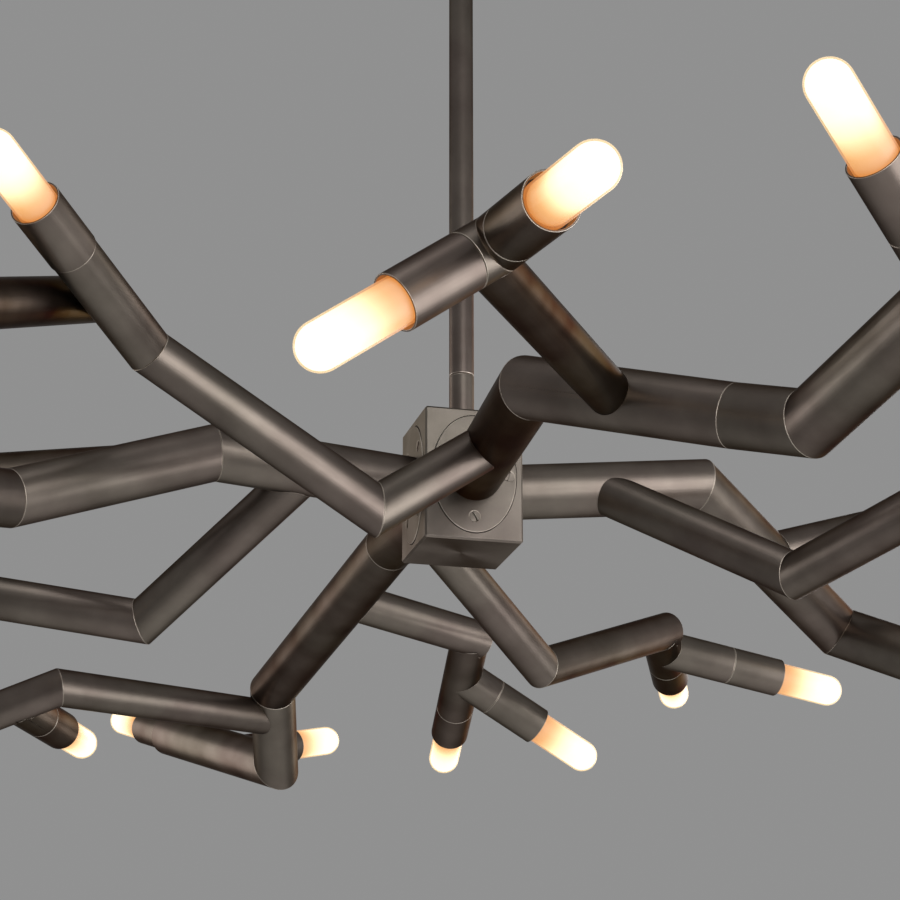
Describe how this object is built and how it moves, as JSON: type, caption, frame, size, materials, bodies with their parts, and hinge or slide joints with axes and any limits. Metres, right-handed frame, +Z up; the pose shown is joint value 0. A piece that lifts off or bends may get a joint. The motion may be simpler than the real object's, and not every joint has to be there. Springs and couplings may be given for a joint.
{
  "type": "branch pendant light",
  "caption": "Branching chandelier: a square hub hung on a stem carries arms of straight mitred tube that fork into lamp sleeves with frosted tubular bulbs.",
  "frame": {"origin": "on the stem's axis, where the ceiling bar meets the ceiling, midway between the two ceiling screws", "axes": "+Z up into the ceiling, +X along the ceiling bar and towards the right arm, +Y towards the back arm"},
  "size_m": [0.752, 1.0703, 0.6237],
  "materials": {
    "dark_bronze": "satin dark bronze patina, brushed, worn lighter on edges and seams",
    "bright_steel": "zinc plated",
    "raw_brass": "turned, unlacquered",
    "lampholder": "moulded, heat resistant",
    "bulb_glass": "frosted, lit warm white"
  },
  "bodies": {
    "ceiling": {"ceiling_bar": "bright_steel", "canopy": "dark_bronze", "canopy_studs": "bright_steel", "canopy_cap_nuts": "dark_bronze", "swivel_seat": "dark_bronze"},
    "swivel": {"swivel_ball": "raw_brass"},
    "fixture": {"front_arm_main": "dark_bronze", "front_arm_left_branch": "dark_bronze", "front_arm_side_branch": "dark_bronze", "front_arm_twin_branch": "dark_bronze", "right_arm_main": "dark_bronze", "right_arm_front_branch": "dark_bronze", "right_arm_back_branch": "dark_bronze", "left_arm_main": "dark_bronze", "left_arm_low_branch": "dark_bronze", "left_arm_back_branch": "dark_bronze", "back_arm_main": "dark_bronze", "back_arm_right_branch": "dark_bronze", "back_arm_middle_branch": "dark_bronze", "back_arm_left_branch": "dark_bronze", "front_lamp_sleeves": "dark_bronze", "front_lampholders": "lampholder", "right_lamp_sleeves": "dark_bronze", "right_lampholders": "lampholder", "left_lamp_sleeves": "dark_bronze", "left_lampholders": "lampholder", "back_lamp_sleeves": "dark_bronze", "back_lampholders": "lampholder", "front_flange": "dark_bronze", "right_flange": "dark_bronze", "left_flange": "dark_bronze", "back_flange": "dark_bronze", "hub_block": "dark_bronze", "flange_screws": "dark_bronze", "terminal_block": "lampholder", "stem": "dark_bronze", "stem_collar": "dark_bronze", "stem_nut": "bright_steel"},
    "lamp_front_01": {"bulb_front_01": "bulb_glass"},
    "lamp_front_02": {"bulb_front_02": "bulb_glass"},
    "lamp_front_03": {"bulb_front_03": "bulb_glass"},
    "lamp_front_04": {"bulb_front_04": "bulb_glass"},
    "lamp_front_05": {"bulb_front_05": "bulb_glass"},
    "lamp_right_06": {"bulb_right_06": "bulb_glass"},
    "lamp_right_07": {"bulb_right_07": "bulb_glass"},
    "lamp_right_08": {"bulb_right_08": "bulb_glass"},
    "lamp_left_09": {"bulb_left_09": "bulb_glass"},
    "lamp_left_10": {"bulb_left_10": "bulb_glass"},
    "lamp_left_11": {"bulb_left_11": "bulb_glass"},
    "lamp_back_12": {"bulb_back_12": "bulb_glass"},
    "lamp_back_13": {"bulb_back_13": "bulb_glass"},
    "lamp_back_14": {"bulb_back_14": "bulb_glass"},
    "lamp_back_15": {"bulb_back_15": "bulb_glass"},
    "lamp_back_16": {"bulb_back_16": "bulb_glass"},
    "lamp_back_17": {"bulb_back_17": "bulb_glass"},
    "lamp_back_18": {"bulb_back_18": "bulb_glass"},
    "lamp_back_19": {"bulb_back_19": "bulb_glass"}
  },
  "joints": [
    {"name": "swivel_tilt", "type": "hinge", "parent": "ceiling", "child": "swivel", "pos_m": [0, 0, -0.033], "axis": [0, 1, 0], "range_deg": [-18, 18]},
    {"name": "stem_turn", "type": "hinge", "parent": "swivel", "child": "fixture", "pos_m": [0, 0, -0.033], "axis": [0, 0, 1], "range_deg": [-170, 170]},
    {"name": "bulb_front_01_out", "type": "slide", "parent": "fixture", "child": "lamp_front_01", "axis": [-0.6846, -0.5356, 0.4944], "range_m": [0, 0.018]},
    {"name": "bulb_front_02_out", "type": "slide", "parent": "fixture", "child": "lamp_front_02", "axis": [-0.5687, -0.7718, 0.2844], "range_m": [0, 0.018]},
    {"name": "bulb_front_03_out", "type": "slide", "parent": "fixture", "child": "lamp_front_03", "axis": [-0.4306, -0.8204, -0.3762], "range_m": [0, 0.018]},
    {"name": "bulb_front_04_out", "type": "slide", "parent": "fixture", "child": "lamp_front_04", "axis": [0.1319, -0.9891, -0.0659], "range_m": [0, 0.018]},
    {"name": "bulb_front_05_out", "type": "slide", "parent": "fixture", "child": "lamp_front_05", "axis": [-0.793, -0.1322, -0.5947], "range_m": [0, 0.018]},
    {"name": "bulb_right_06_out", "type": "slide", "parent": "fixture", "child": "lamp_right_06", "axis": [0.52, -0.74, -0.4267], "range_m": [0, 0.018]},
    {"name": "bulb_right_07_out", "type": "slide", "parent": "fixture", "child": "lamp_right_07", "axis": [0.2815, -0.9537, 0.1056], "range_m": [0, 0.018]},
    {"name": "bulb_right_08_out", "type": "slide", "parent": "fixture", "child": "lamp_right_08", "axis": [0.8993, 0.2933, 0.3244], "range_m": [0, 0.018]},
    {"name": "bulb_left_09_out", "type": "slide", "parent": "fixture", "child": "lamp_left_09", "axis": [-0.7505, -0.6374, -0.1748], "range_m": [0, 0.018]},
    {"name": "bulb_left_10_out", "type": "slide", "parent": "fixture", "child": "lamp_left_10", "axis": [-0.8085, -0.5745, -0.1277], "range_m": [0, 0.018]},
    {"name": "bulb_left_11_out", "type": "slide", "parent": "fixture", "child": "lamp_left_11", "axis": [-0.4783, 0.8549, 0.2009], "range_m": [0, 0.018]},
    {"name": "bulb_back_12_out", "type": "slide", "parent": "fixture", "child": "lamp_back_12", "axis": [-0.3518, 0.8831, 0.3105], "range_m": [0, 0.018]},
    {"name": "bulb_back_13_out", "type": "slide", "parent": "fixture", "child": "lamp_back_13", "axis": [0.7898, 0.5598, 0.2505], "range_m": [0, 0.018]},
    {"name": "bulb_back_14_out", "type": "slide", "parent": "fixture", "child": "lamp_back_14", "axis": [0.385, 0.9209, -0.0603], "range_m": [0, 0.018]},
    {"name": "bulb_back_15_out", "type": "slide", "parent": "fixture", "child": "lamp_back_15", "axis": [0.9837, 0.0932, -0.1538], "range_m": [0, 0.018]},
    {"name": "bulb_back_16_out", "type": "slide", "parent": "fixture", "child": "lamp_back_16", "axis": [0.1347, 0.9526, -0.2729], "range_m": [0, 0.018]},
    {"name": "bulb_back_17_out", "type": "slide", "parent": "fixture", "child": "lamp_back_17", "axis": [0.8745, 0.1643, -0.4563], "range_m": [0, 0.018]},
    {"name": "bulb_back_18_out", "type": "slide", "parent": "fixture", "child": "lamp_back_18", "axis": [-0.8582, 0.4017, -0.3195], "range_m": [0, 0.018]},
    {"name": "bulb_back_19_out", "type": "slide", "parent": "fixture", "child": "lamp_back_19", "axis": [0.4663, 0.8845, -0.0168], "range_m": [0, 0.018]}
  ]
}
